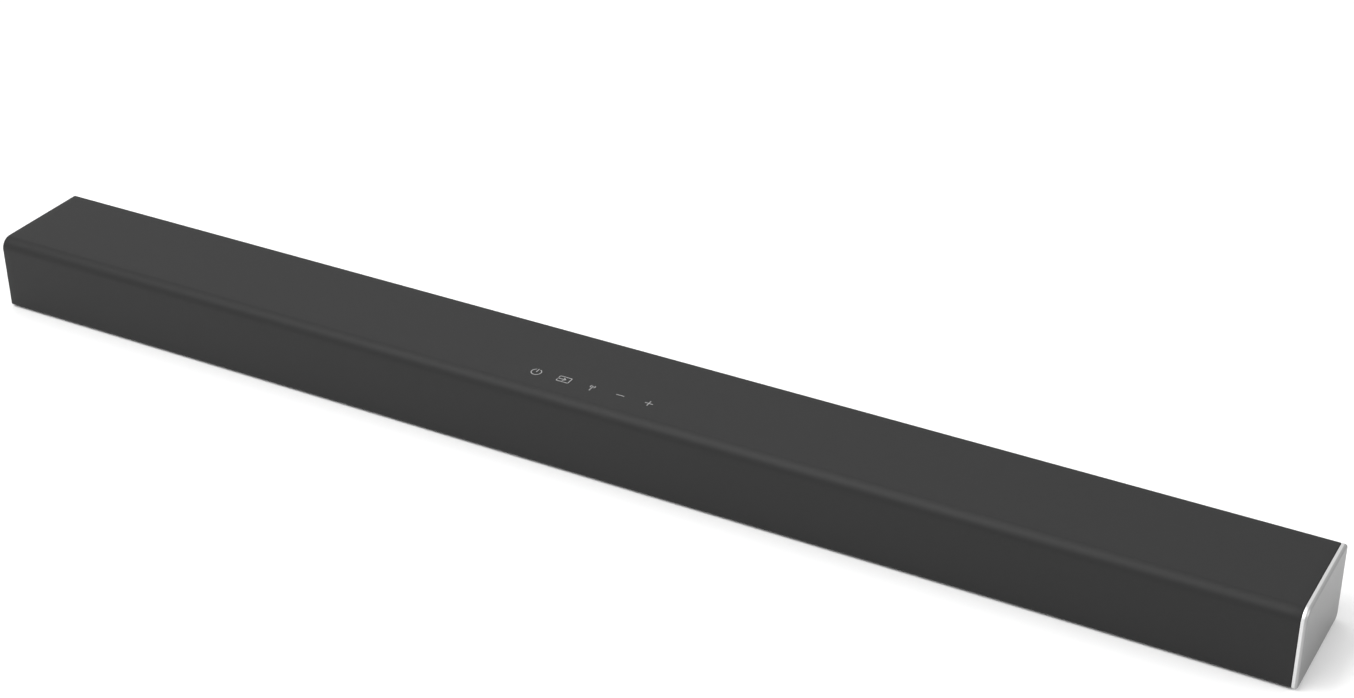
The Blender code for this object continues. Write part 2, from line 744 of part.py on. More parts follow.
def make_main_board():
    """The board with its chips, chokes, capacitors and lead connectors."""
    top = MAIN_BOARD_Z + BOARD
    bm = bmesh.new()
    box(bm, MAIN_BOARD_X, BOARD_Y, (MAIN_BOARD_Z, top))
    board = add_object("main_board", bm, "circuit_board")
    parts = bmesh.new()
    low = top - 0.3 * MM
    for x, y, half_x, half_y, height in (
        (30, -2, 8, 8, 1.6),
        (64, 14, 5, 5, 1.4),
        (-19, -9, 3, 3, 3.4),
        (-7, -9, 3, 3, 5.4),
        (-19, 2, 3, 3, 3.4),
        (126, -9, 3, 3, 5.4),
    ):
        box(
            parts,
            ((x - half_x) * MM, (x + half_x) * MM),
            ((y - half_y) * MM, (y + half_y) * MM),
            (low, top + height * MM),
        )
    for x, y, radius, height in ((48, -6, 4, 9), (76, 16, 3, 7), (84, 16, 3, 7), (123, 10, 4, 9)):
        disc(parts, (x * MM, y * MM), radius * MM, low, top + height * MM, steps=12)
    join(board, add_object("main_board_parts", parts))


def make_power_board():
    """The mains supply's board, with its fuse, choke, switch and lead connectors."""
    top = POWER_BOARD_Z + BOARD
    bm = bmesh.new()
    box(bm, POWER_BOARD_X, BOARD_Y, (POWER_BOARD_Z, top))
    board = add_object("power_board", bm, "circuit_board")
    parts = bmesh.new()
    low = top - 0.3 * MM
    for x, y, half_x, half_y, height in (
        (-84, 16, 3, 4, 5),
        (-77, -4, 3, 4, 5),
        (-96, -6, 8, 4, 9),
        (-112, 14, 6, 6, 14),
        (-190, 6, 4, 10, 6),
    ):
        box(
            parts,
            ((x - half_x) * MM, (x + half_x) * MM),
            ((y - half_y) * MM, (y + half_y) * MM),
            (low, top + height * MM),
        )
    join(board, add_object("power_board_parts", parts))


def make_transformer():
    """Ferrite core with its winding standing out on both sides."""
    base = POWER_BOARD_Z + BOARD + GAP
    bm = bmesh.new()
    box(bm, (-150 * MM, -124 * MM), (-4 * MM, 8 * MM), (base, base + 22 * MM))
    core = add_object("transformer", bm, "transformer")
    winding = bmesh.new()
    outline = rounded((-137 * MM, 2 * MM), (9 * MM, 10.5 * MM), 4 * MM)
    prism(winding, outline, base + 4 * MM, base + 18 * MM, "Z")
    join(core, add_object("transformer_winding", winding))


def make_capacitor():
    base = POWER_BOARD_Z + BOARD + GAP
    bm = bmesh.new()
    rings = []
    for radius, z in ((8.0, 0), (8.0, 1.5), (7.6, 2.0), (8.0, 2.5), (8.0, 24.5), (7.4, 25.0)):
        ring = arc((-170 * MM, 2 * MM), radius * MM, 0, 342, 19)
        rings.append([(x, y, base + z * MM) for x, y in ring])
    skin(bm, rings)
    add_object("mains_capacitor", bm, "capacitor")


def make_heat_sink():
    """A finned extrusion over the amplifier chip."""
    base = MAIN_BOARD_Z + BOARD + GAP
    outline = [(-12 * MM, base), (12 * MM, base)]
    for fin in range(6):
        y = (11.0 - fin * 4.4) * MM
        outline += [(y + 1 * MM, base + 16 * MM), (y - 1 * MM, base + 16 * MM)]
        if fin < 5:
            outline += [(y - 1 * MM, base + 3 * MM), (y - 3.4 * MM, base + 3 * MM)]
    bm = bmesh.new()
    prism(bm, outline, 88 * MM, 118 * MM)
    add_object("heat_sink", bm, "aluminium")


def make_wireless_module():
    base = MAIN_BOARD_Z + BOARD + GAP
    bm = bmesh.new()
    box(bm, (60 * MM, 80 * MM), (-11 * MM, 4 * MM), (base, base + 1 * MM))
    module = add_object("wireless_module", bm, "circuit_board")
    can = bmesh.new()
    outline = rounded((68.5 * MM, -3.5 * MM), (7.5 * MM, 6.5 * MM), 0.8 * MM, 2)
    prism(can, outline, base + 0.7 * MM, base + 3 * MM, "Z")
    join(module, add_object("wireless_can", can))


def indicator_places():
    return [INDICATOR_X + i * INDICATOR_PITCH for i in range(INDICATORS)]


def make_indicator_board():
    """LEDs and the infrared receiver, looking out through the front."""
    bm = bmesh.new()
    box(bm, (-441 * MM, -398 * MM), INDICATOR_BOARD_Y, (19 * MM, 35 * MM))
    board = add_object("indicator_board", bm, "circuit_board")
    parts = bmesh.new()
    for x in indicator_places():
        box(
            parts,
            (x - 1.2 * MM, x + 1.2 * MM),
            (-33.8 * MM, -32.6 * MM),
            (INDICATOR_Z - 1.2 * MM, INDICATOR_Z + 1.2 * MM),
        )
    box(parts, (IR_X - 2.5 * MM, IR_X + 2.5 * MM), (-35.2 * MM, -32.6 * MM), (24.5 * MM, 29.5 * MM))
    join(board, add_object("indicator_parts", parts))


def make_light_guide():
    """A clear bar with a pin in each indicator hole."""
    bm = bmesh.new()
    box(bm, (-439 * MM, -411 * MM), (-35.2 * MM, -34.2 * MM), (INDICATOR_Z - 3 * MM, INDICATOR_Z + 3 * MM))
    guide = add_object("light_guide", bm, "light_guide")
    pins = bmesh.new()
    for x in indicator_places():
        disc(pins, (x, INDICATOR_Z), 1.3 * MM, -37.4 * MM, -34.7 * MM, axis="Y", steps=12)
    join(guide, add_object("light_guide_pins", pins))


# Sockets


def hdmi_outline(grow):
    """The video socket's outline: its lower corners are cut off."""
    half, chamfer = 7.5 * MM + grow, 1.9 * MM
    low, high = SOCKET_Z - grow, SOCKET_Z + 6.0 * MM + grow
    return [
        (HDMI_X - half, high),
        (HDMI_X - half, low + chamfer),
        (HDMI_X - half + chamfer, low),
        (HDMI_X + half - chamfer, low),
        (HDMI_X + half, low + chamfer),
        (HDMI_X + half, high),
    ]


def usb_outline(grow):
    centre = (USB_X, SOCKET_Z + 3.3 * MM)
    return rounded(centre, (6.6 * MM + grow, 3.3 * MM + grow), 0.5 * MM, 2)


def optical_outline(grow):
    centre = (OPTICAL_X, SOCKET_Z + 4.9 * MM)
    return rounded(centre, (4.9 * MM + grow, 4.9 * MM + grow), 0.6 * MM, 2)


def mains_outline(grow):
    return rounded((MAINS_X, MAINS_Z), (11.0 * MM + grow, 7.0 * MM + grow), 1.5 * MM, 2)


def make_socket(name, slot, outline, depth, hollow, hollow_depth, inside=None):
    """A socket's shell, hollowed from its face, with what stands inside it."""
    bm = bmesh.new()
    prism(bm, outline, SOCKET_FACE_Y - depth, SOCKET_FACE_Y, "Y")
    socket = add_object(name, bm, slot)
    cutter = bmesh.new()
    prism(cutter, hollow, SOCKET_FACE_Y - hollow_depth, SOCKET_FACE_Y + 1 * MM, "Y")
    cut(socket, add_object(name + "_hollow", cutter))
    if inside:
        join(socket, add_object(name + "_inside", inside))


def make_sockets():
    back = SOCKET_FACE_Y
    tongue = bmesh.new()
    box(tongue, (HDMI_X - 5.4 * MM, HDMI_X + 5.4 * MM), (back - 10 * MM, back - 1.5 * MM), (16.6 * MM, 17.6 * MM))
    make_socket("hdmi_socket", "steel", hdmi_outline(0), 11.7 * MM, hdmi_outline(-0.5 * MM), 9 * MM, tongue)
    tongue = bmesh.new()
    box(tongue, (USB_X - 5.4 * MM, USB_X + 5.4 * MM), (back - 11 * MM, back - 1.5 * MM), (17.0 * MM, 18.6 * MM))
    make_socket("usb_socket", "steel", usb_outline(0), 13.7 * MM, usb_outline(-0.4 * MM), 10 * MM, tongue)
    bore = optical_outline(-1.7 * MM)
    make_socket("optical_socket", "black_plastic", optical_outline(0), 12 * MM, bore, 9 * MM)

    bm = bmesh.new()
    middle = SOCKET_Z + AUX_HALF
    body = rounded((AUX_X, middle), (AUX_HALF, AUX_HALF), 0.4 * MM, 1)
    prism(bm, body, 12 * MM, TRAY_FLOOR_Y - TRAY_FLOOR - GAP, "Y")
    aux = add_object("aux_socket", bm, "black_plastic")
    collar = bmesh.new()
    disc(collar, (AUX_X, middle), AUX_COLLAR, 20 * MM, back, axis="Y", steps=20)
    join(aux, add_object("aux_collar", collar))
    bore = bmesh.new()
    disc(bore, (AUX_X, middle), AUX_BORE, 15 * MM, back + 1 * MM, axis="Y", steps=14)
    cut(aux, add_object("aux_bore", bore))

    pins = bmesh.new()
    for side in (-1, 1):
        centre = (MAINS_X + side * 4.3 * MM, MAINS_Z)
        disc(pins, centre, 1.2 * MM, back - 15 * MM, back - 3 * MM, axis="Y", steps=12)
    hollow = rounded((MAINS_X, MAINS_Z), (8.6 * MM, 4.6 * MM), 4.5 * MM, 5)
    make_socket("mains_inlet", "black_plastic", mains_outline(0), 18 * MM, hollow, 14 * MM, pins)


# Leads


def make_leads():
    lead_left = [(-304.5, -12, 30), (-296, -8, 36), (-270, 2, 41), (-240, 5, 42), (-210, 5, 42)]
    lead_right = [(-x, y, z) for x, y, z in lead_left]
    lead_left += [(-160, 3, 42), (-110, 0, 41), (-60, -2, 38), (-35, -5, 36), (-14, -8, 29)]
    lead_left += [(-7, -9, 23), (-7, -9, 19.6)]
    lead_right += [(175, 3, 40), (148, -3, 35), (132, -8, 28), (126, -9, 22.5), (126, -9, 19.6)]
    wire("speaker_lead_left", "wire_red", 1.1 * MM, lead_left)
    wire("speaker_lead_right", "wire_red", 1.1 * MM, lead_right)
    indicator = [(-416, -30.6, 30), (-408, -29.9, 37), (-399, -29.4, 41.4), (-396, -27.6, 42)]
    indicator += [(-396, -24, 42), (-390, -21.4, 44), (-380, -21, 46.5), (-330, -21, 47)]
    indicator += [(-270, -21, 47)]
    indicator += [(-210, -21, 46.5), (-150, -19, 43), (-100, -16, 34), (-60, -12, 26)]
    indicator += [(-35, -11, 22), (-21, -9.4, 20.5), (-19, -9, 17.8)]
    wire("indicator_lead", "wire", 0.8 * MM, indicator)
    power = [(-77, -4, 16.4), (-74, -4, 23), (-48, -2, 28), (-24, 1, 24), (-19, 2, 17.6)]
    wire("power_lead", "wire", 1.4 * MM, power, 2)
    mains = [(-52, 7.4, 20), (-54, 4, 19.6), (-66, 5, 20), (-77, 12, 20.5), (-84, 16, 20), (-84, 16, 17.8)]
    wire("mains_lead", "wire", 1.6 * MM, mains, 2)


def make_key_ribbon():
    """The flat lead from the key board down to the main board."""
    middle = [(-12, 41.3), (-12, 37), (-10, 32), (-9, 26), (-9, 20), (-8, 13.9)]
    half = 0.3
    outline = [(y - half, z) for y, z in middle] + [(y + half, z) for y, z in reversed(middle)]
    bm = bmesh.new()
    prism(bm, [(y * MM, z * MM) for y, z in outline], 6 * MM, 16 * MM)
    add_object("key_ribbon", bm, "ribbon")


def main():
    for obj in list(bpy.data.objects):
        bpy.data.objects.remove(obj, do_unlink=True)
    make_fabric_sleeve()
    make_front_housing()
    make_rear_cover()
    make_end_cap("end_cap_left", -1)
    make_end_cap("end_cap_right", 1)
    make_socket_tray()
    for name, side in (("left", -1), ("right", 1)):
        make_keyhole_plate("keyhole_plate_" + name, side * KEYHOLE_X)
        for place, y in zip(("front", "back"), FOOT_Y):
            make_foot(f"foot_{place}_{name}", side * FOOT_X, y)
        make_loudspeaker(name, side * SPEAKER_X)
    for number, x in enumerate(SCREW_X, 1):
        make_cover_screw(f"cover_screw_{number}", x)
    for key, place in zip(KEYS, key_places()):
        make_key("key_" + key, *place)
    make_key_board()
    make_baffle()
    make_chamber_wall("chamber_wall_left", -CHAMBER_X, ((5, 42), (-21, 46.5)))
    make_chamber_wall("chamber_wall_right", CHAMBER_X, ((5, 42),))
    make_main_board()
    make_power_board()
    make_transformer()
    make_capacitor()
    make_heat_sink()
    make_wireless_module()
    make_indicator_board()
    make_light_guide()
    make_sockets()
    make_leads()
    make_key_ribbon()


main()
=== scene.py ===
"""The soundbar's looks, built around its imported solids. Lengths are in metres.

The fabric and the right end cap are new pieces. Every other solid gets a finer copy of itself, with
soft edges and a material of its own.
"""

import json
import math

import bmesh
import bpy
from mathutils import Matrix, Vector


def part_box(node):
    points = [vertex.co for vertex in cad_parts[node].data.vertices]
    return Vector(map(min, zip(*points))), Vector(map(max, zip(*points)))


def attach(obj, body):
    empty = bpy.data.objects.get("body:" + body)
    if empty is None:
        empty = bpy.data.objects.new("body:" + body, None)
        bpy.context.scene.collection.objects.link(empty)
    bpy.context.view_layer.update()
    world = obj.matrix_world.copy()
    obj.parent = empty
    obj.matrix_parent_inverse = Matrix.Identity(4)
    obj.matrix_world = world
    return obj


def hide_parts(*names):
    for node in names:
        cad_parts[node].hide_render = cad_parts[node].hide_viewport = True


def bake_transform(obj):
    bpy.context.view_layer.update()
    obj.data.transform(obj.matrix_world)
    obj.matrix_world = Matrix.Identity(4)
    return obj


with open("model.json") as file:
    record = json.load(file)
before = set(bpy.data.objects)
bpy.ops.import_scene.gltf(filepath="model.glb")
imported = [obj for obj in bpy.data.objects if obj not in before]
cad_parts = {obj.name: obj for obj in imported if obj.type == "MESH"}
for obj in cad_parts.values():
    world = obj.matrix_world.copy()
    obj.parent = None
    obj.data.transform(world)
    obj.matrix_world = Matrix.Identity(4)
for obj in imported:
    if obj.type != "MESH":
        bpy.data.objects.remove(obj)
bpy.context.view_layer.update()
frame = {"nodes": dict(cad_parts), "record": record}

MM = 0.001

# The bar's outline
BODY_LOW, BODY_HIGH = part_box("fabric_sleeve")
LEFT, FRONT, BASE = BODY_LOW
SLEEVE_RIGHT, _, TOP = BODY_HIGH
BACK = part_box("rear_cover")[1].y
CAP_LOW, CAP_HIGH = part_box("end_cap_right")
CAP_INSIDE, RIGHT = CAP_LOW.x, CAP_HIGH.x
FRONT_TOP_RADIUS = 8.0 * MM
BACK_TOP_RADIUS = 2.5 * MM
BACK_BOTTOM_RADIUS = 4.5 * MM
FRONT_BOTTOM_RADIUS = 1.5 * MM
SMALLEST_RADIUS = 0.4 * MM

# The cloth: where its two long edges end, its thickness, its hems and its weave
TUCK_Y = -26.0 * MM
TUCK_Z = 38.0 * MM
FABRIC = 0.8 * MM
HEM = 3.0 * MM
COLUMNS = 150
THREAD_PITCH = 0.9 * MM
SETTLE = 0.05 * MM  # how far the cloth lies under the CAD surface, to leave room for its print

# The keys press through the cloth: how far from a key's centre it goes down whole, and stays still
KEYS = ("power", "input", "wireless", "volume_down", "volume_up")
PRESSED = 6.5 * MM
STILL = 9.5 * MM
SLOPE_STEPS = 8

# The right end cap's slab
CAP_GAP = 0.3 * MM
CAP_SPIGOT = 3.4 * MM
CAP_SPIGOT_WALL = 1.6 * MM
CAP_BREAK = 0.25 * MM
CAP_BEVEL_WIDE = 1.9 * MM
CAP_BEVEL_DEEP = 1.5 * MM
CAP_BEVEL_STEPS = 12
CAP_FACE_RINGS = (3.0 * MM, 9.0 * MM)


# Node materials

CLOTH_TONE = 0.0108
SILVER_TONE = 0.34
# The cap's tones are painted light: a painted highlight on the rim, a painted half-light on the
# bevel, painted shade on the face.
RIM_PAINTED_HIGHLIGHT_TONE = 0.68
BEVEL_PAINTED_HALF_LIGHT_TONE = 0.39
FACE_PAINTED_SHADE_TONE = 0.238
CAP_TURN = 0.6 * MM  # the way over which the rim's painted highlight turns into the bevel's painted half-light

# How many bumps to a metre a grain has
FLAKE_GRAIN = 4200.0
PEEL_GRAIN = 1100.0
NAP_GRAIN = 9000.0
BROAD = 26.0


class Look:
    """A material being made. Patterns use the object's own coordinates, in metres."""

    def __init__(self, name, colour, roughness, metallic=0.0, **sockets):
        self.material = bpy.data.materials.new(name)
        self.material.use_nodes = True
        self.tree = self.material.node_tree
        self.shader = self.tree.nodes["Principled BSDF"]
        self.shader.inputs["Base Color"].default_value = (*colour, 1.0)
        self.shader.inputs["Roughness"].default_value = roughness
        self.shader.inputs["Metallic"].default_value = metallic
        for socket, value in sockets.items():
            self.shader.inputs[socket.replace("_", " ")].default_value = value
        self.place = self.node("ShaderNodeTexCoord").outputs["Object"]

    def node(self, kind, inputs=None, **settings):
        made = self.tree.nodes.new(kind)
        for key, value in settings.items():
            setattr(made, key, value)
        for key, value in (inputs or {}).items():
            if isinstance(value, bpy.types.NodeSocket):
                self.tree.links.new(value, made.inputs[key])
            else:
                made.inputs[key].default_value = value
        return made

    def stretched(self, scale):
        """Coordinates stretched along each axis."""
        made = self.node("ShaderNodeMapping", {"Vector": self.place, "Scale": scale})
        return made.outputs["Vector"]

    def cells(self, scale):
        """How far a place is from the middle of its cell."""
        inputs = {"Vector": self.place, "Scale": scale}
        return self.node("ShaderNodeTexVoronoi", inputs).outputs["Distance"]

    def noise(self, scale, detail=2.0, place=None, distortion=0.0):
        inputs = {
            "Vector": place or self.place,
            "Scale": scale,
            "Detail": detail,
            "Distortion": distortion,
        }
        return self.node("ShaderNodeTexNoise", inputs).outputs["Fac"]

    def maths(self, operation, first, second=0.5):
        made = self.node("ShaderNodeMath", {0: first, 1: second}, operation=operation)
        return made.outputs["Value"]

    def between(self, fac, low, high, start=0.0, end=1.0):
        """A number that goes from low to high as fac goes from start to end."""
        inputs = {"Value": fac, "From Min": start, "From Max": end, "To Min": low, "To Max": high}
        return self.node("ShaderNodeMapRange", inputs).outputs["Result"]

    def mix(self, fac, first, second):
        made = self.node("ShaderNodeMix", {"Factor": fac}, data_type="RGBA")
        for socket, value in ((made.inputs[6], first), (made.inputs[7], second)):
            if isinstance(value, bpy.types.NodeSocket):
                self.tree.links.new(value, socket)
            else:
                socket.default_value = (*value, 1.0)
        return made.outputs[2]

    def smooth(self, value, start, end):
        """0 before start and 1 after end, with a soft step between."""
        inputs = {"Value": value, "From Min": start, "From Max": end, "To Min": 0.0, "To Max": 1.0}
        made = self.node("ShaderNodeMapRange", inputs, interpolation_type="SMOOTHSTEP")
        return made.outputs["Result"]

    def flake(self):
        """About 1, a little lighter or darker from flake to flake and over the whole."""
        fine = self.between(self.noise(FLAKE_GRAIN, 1.0), 0.93, 1.07, 0.3, 0.7)
        broad = self.between(self.noise(BROAD, 3.0), 0.97, 1.03)
        return self.maths("MULTIPLY", fine, broad)

    def tone(self, value):
        """A neutral colour of one value."""
        return self.node("ShaderNodeCombineColor", {0: value, 1: value, 2: value}).outputs["Color"]

    def paint(self, socket, value):
        self.tree.links.new(value, self.shader.inputs[socket])

    def bump(self, height, depth, strength=1.0):
        """Raises the surface by up to depth, where height is 1."""
        inputs = {"Height": height, "Distance": depth, "Strength": strength}
        self.paint("Normal", self.node("ShaderNodeBump", inputs).outputs["Normal"])


def grey(value):
    return (value, value, value)


def fabric_look():
    """A fine acoustic weave: round threads over and under, a little uneven, with a soft nap; the
    thread crowns are painted lighter and the hollows and gaps between threads painted darker as
    shade.
    """
    look = Look("acoustic_fabric", grey(CLOTH_TONE), 0.5, Specular_IOR_Level=0.285)
    cloth = look.node("ShaderNodeUVMap", uv_map="cloth").outputs["UV"]
    parts = look.node("ShaderNodeSeparateXYZ", {"Vector": cloth})
    wander = look.between(look.noise(90.0, 2.0), -0.35, 0.35)
    turns = 2 * math.pi / THREAD_PITCH
    warp = look.maths("ADD", look.maths("MULTIPLY", parts.outputs["X"], turns), wander)
    weft = look.maths("ADD", look.maths("MULTIPLY", parts.outputs["Y"], turns), wander)
    across, along = look.maths("SINE", warp), look.maths("SINE", weft)
    height = look.between(look.maths("MULTIPLY", across, along), 0.0, 1.0, -1.0, 1.0)
    nearest = look.maths("ADD", look.maths("ABSOLUTE", across), look.maths("ABSOLUTE", along))
    # Painted shade: the gaps between threads are painted darker.
    pores = look.between(look.smooth(nearest, 0.15, 0.8), 0.35, 1.0)
    fuzz = look.noise(NAP_GRAIN, 1.0)
    streaks = look.noise(1.0, 3.0, look.stretched((35.0, 700.0, 700.0)))
    slub = look.maths("MULTIPLY", look.between(streaks, 0.97, 1.03, 0.3, 0.7), CLOTH_TONE)
    # Painted shade and highlight: colour is darker where the weave is low, lighter on the thread
    # crowns.
    tone = look.maths("MULTIPLY", look.between(height, 0.72, 1.28), look.between(fuzz, 0.8, 1.2))
    tone = look.maths("MULTIPLY", look.maths("MULTIPLY", tone, pores), slub)
    look.paint("Base Color", look.tone(tone))
    threads = look.maths("MULTIPLY", height, pores)
    look.bump(look.maths("ADD", threads, look.maths("MULTIPLY", fuzz, 0.3)), 0.06 * MM, 0.8)
    return look.material


def silver_look():
    """Satin silver paint: fine flake and a faint orange peel."""
    look = Look("satin_silver", grey(0.42), 0.36, 0.75)
    tone = look.maths("MULTIPLY", look.flake(), SILVER_TONE)
    look.paint("Base Color", look.tone(tone))
    look.paint("Roughness", look.between(look.noise(BROAD, 3.0), 0.36, 0.42))
    look.bump(look.noise(PEEL_GRAIN, 2.0), 0.006 * MM)
    return look.material


def cap_look(rim, face):
    """Rim painted bright as a highlight up to one distance along the cap's profile, satin face
    painted darker as shade from another, with a painted half-light on the bevel between.
    """
    look = Look("satin_cap_painted_light", grey(0.42), 0.36, 0.9)
    profile = look.node("ShaderNodeUVMap", uv_map="cap").outputs["UV"]
    along = look.node("ShaderNodeSeparateXYZ", {"Vector": profile}).outputs["X"]
    turned = look.smooth(along, rim - 0.1 * MM, rim + CAP_TURN)
    faced = look.smooth(along, rim + CAP_TURN, face)
    # Painted light: bright highlight tone on the rim, half-light on the bevel, shade tone on the
    # face.
    painted_rim_highlight = look.between(turned, RIM_PAINTED_HIGHLIGHT_TONE, BEVEL_PAINTED_HALF_LIGHT_TONE)
    painted_face_shade = look.between(faced, 0.0, FACE_PAINTED_SHADE_TONE - BEVEL_PAINTED_HALF_LIGHT_TONE)
    tone = look.maths("ADD", painted_rim_highlight, painted_face_shade)
    look.paint("Base Color", look.tone(look.maths("MULTIPLY", tone, look.flake())))
    look.paint("Roughness", look.between(faced, 0.45, 0.42))
    look.bump(look.noise(PEEL_GRAIN, 2.0), 0.006 * MM)
    return look.material


def moulded_look(name, colour, roughness, grain=0.02 * MM, scale=2600.0):
    """Moulded plastic or rubber with a spark-eroded grain and faint handling marks."""
    look = Look(name, colour, roughness)
    rub = look.noise(55.0, 4.0, distortion=0.4)
    low, high = [tuple(part * factor for part in colour) for factor in (0.85, 1.3)]
    smooth, dull = roughness - 0.06, min(roughness + 0.08, 1.0)
    look.paint("Base Color", look.mix(look.between(rub, 0.0, 1.0, 0.35, 0.7), low, high))
    look.paint("Roughness", look.between(rub, smooth, dull, 0.3, 0.7))
    look.bump(look.noise(scale, 3.0), grain)
    return look.material


def metal_look(name, colour, roughness, stretch, grain=0.006 * MM):
    """Bare metal with a grain along one axis."""
    look = Look(name, colour, roughness, 1.0)
    lines = look.noise(1.0, 3.0, look.stretched(stretch))
    low, high = [tuple(part * factor for part in colour) for factor in (0.8, 1.1)]
    look.paint("Base Color", look.mix(lines, low, high))
    look.paint("Roughness", look.between(lines, roughness - 0.08, roughness + 0.1, 0.3, 0.7))
    look.bump(lines, grain)
    return look.material


def board_look():
    """Green solder mask over copper runs, with pale pads."""
    look = Look("solder_mask", (0.01, 0.09, 0.04), 0.35, Coat_Weight=0.3)
    layout = {"Scale": 260.0, "Mortar Size": 0.035, "Brick Width": 1.6, "Row Height": 0.35}
    runs = look.node("ShaderNodeTexBrick", {"Vector": look.place, **layout})
    copper = look.mix(runs.outputs["Fac"], (0.008, 0.075, 0.03), (0.02, 0.16, 0.06))
    pad = look.between(look.cells(230.0), 1.0, 0.0, 0.10, 0.13)
    look.paint("Base Color", look.mix(pad, copper, (0.55, 0.56, 0.5)))
    look.bump(runs.outputs["Fac"], 0.02 * MM)
    return look.material


def board_parts_look():
    """Moulded black parts on a board, some duller than others."""
    look = Look("board_parts", grey(0.03), 0.4)
    block = look.noise(60.0, 0.0)
    grain = look.noise(2600.0, 3.0)
    duller = look.between(block, 0.0, 1.0, 0.4, 0.6)
    look.paint("Base Color", look.mix(duller, grey(0.012), grey(0.045)))
    look.paint("Roughness", look.between(grain, 0.32, 0.5))
    look.bump(grain, 0.01 * MM)
    return look.material


def cone_look():
    """Black pressed paper, with long fibres."""
    look = Look("pressed_paper", grey(0.02), 0.85)
    fibre = look.noise(900.0, 4.0, distortion=1.2)
    look.paint("Base Color", look.mix(fibre, grey(0.012), grey(0.05)))
    look.bump(fibre, 0.06 * MM)
    return look.material


def spider_look():
    """Open cloth stiffened with resin."""
    look = Look("resin_cloth", (0.45, 0.27, 0.09), 0.75)
    weave = look.cells(1800.0)
    look.paint("Base Color", look.mix(weave, (0.3, 0.16, 0.05), (0.6, 0.4, 0.16)))
    look.bump(weave, 0.1 * MM)
    return look.material


def foam_look():
    """Open-cell foam."""
    look = Look("foam", grey(0.03), 0.97)
    cells = look.cells(2200.0)
    look.paint("Base Color", look.mix(cells, grey(0.008), grey(0.06)))
    look.bump(cells, 0.2 * MM)
    return look.material


def clear_look():
    """Clear moulded light guide, faintly frosted."""
    look = Look("clear_plastic", (0.85, 0.9, 0.9), 0.12, Transmission_Weight=0.8, IOR=1.49)
    frost = look.noise(1500.0, 2.0)
    look.paint("Roughness", look.between(frost, 0.08, 0.25))
    look.bump(frost, 0.005 * MM)
    return look.material


def winding_look():
    """Yellow tape wrapped round a winding, over dark ferrite ends."""
    look = Look("taped_winding", (0.6, 0.42, 0.08), 0.4)
    tape = {"Vector": look.place, "Scale": 420.0, "Distortion": 0.6}
    turns = look.node("ShaderNodeTexWave", tape, bands_direction="Z")
    look.paint("Base Color", look.mix(turns.outputs["Fac"], (0.45, 0.3, 0.05), (0.68, 0.5, 0.1)))
    look.bump(turns.outputs["Fac"], 0.05 * MM)
    return look.material


def ribbon_look():
    """Flat cable: cores show as lines along it."""
    look = Look("flat_cable", grey(0.6), 0.45)
    cores = look.node("ShaderNodeTexWave", {"Vector": look.place, "Scale": 320.0})
    look.paint("Base Color", look.mix(cores.outputs["Fac"], (0.55, 0.55, 0.52), (0.8, 0.8, 0.77)))
    look.bump(cores.outputs["Fac"], 0.1 * MM)
    return look.material


LOOKS = {
    "fabric": fabric_look(),
    "silver": silver_look(),
    "black_plastic": moulded_look("black_plastic", grey(0.016), 0.5),
    "rubber": moulded_look("black_rubber", grey(0.02), 0.85, 0.03 * MM, 1500.0),
    "surround_rubber": moulded_look("soft_rubber", grey(0.015), 0.6, 0.01 * MM, 3000.0),
    "steel": metal_look("zinc_plate", (0.55, 0.55, 0.57), 0.34, (400.0, 400.0, 4000.0)),
    "magnet": moulded_look("ferrite", grey(0.045), 0.6, 0.05 * MM, 1800.0),
    "paper_cone": cone_look(),
    "spider_cloth": spider_look(),
    "foam": foam_look(),
    "circuit_board": board_look(),
    "board_parts": board_parts_look(),
    "aluminium": metal_look("extruded_aluminium", (0.78, 0.78, 0.79), 0.3, (60.0, 5000.0, 5000.0)),
    "light_guide": clear_look(),
    "capacitor": moulded_look("shrink_sleeve", (0.02, 0.03, 0.09), 0.3, 0.004 * MM, 900.0),
    "transformer": winding_look(),
    "wire": moulded_look("black_insulation", grey(0.02), 0.45, 0.01 * MM, 1200.0),
    "wire_red": moulded_look("red_insulation", (0.35, 0.02, 0.02), 0.45, 0.01 * MM, 1200.0),
    "ribbon": ribbon_look(),
}


# Shapes


def add_piece(name, bm, slot, body="bar", look=None):
    """Makes a bmesh a piece that rides on a body."""
    mesh = bpy.data.meshes.new(name)
    bm.to_mesh(mesh)
    bm.free()
    mesh.shade_smooth()
    mesh.materials.append(LOOKS[look or slot])
    obj = bpy.data.objects.new(name, mesh)
    bpy.context.scene.collection.objects.link(obj)
    if body:
        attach(obj, body)
    return obj


def face_up(bm, points):
    """A face through points of one level plane, facing up."""
    face = bm.faces.new([bm.verts.new(point) for point in points])
    face.normal_update()
    if face.normal.z < 0:
        face.normal_flip()
    return face


def arc_points(centre, radius, start, end, steps):
    """Points of an arc, each with its outward normal, angles in degrees."""
    points = []
    for step in range(steps + 1):
        angle = math.radians(start + (end - start) * step / steps)
        normal = Vector((math.cos(angle), math.sin(angle)))
        points.append((Vector(centre) + radius * normal, normal))
    return points


def line_points(start, end, normal, pitch):
    """Points between two ends of a straight stretch, without the ends themselves."""
    start, end = Vector(start), Vector(end)
    steps = max(1, round((end - start).length / pitch))
    return [(start.lerp(end, step / steps), Vector(normal)) for step in range(1, steps)]


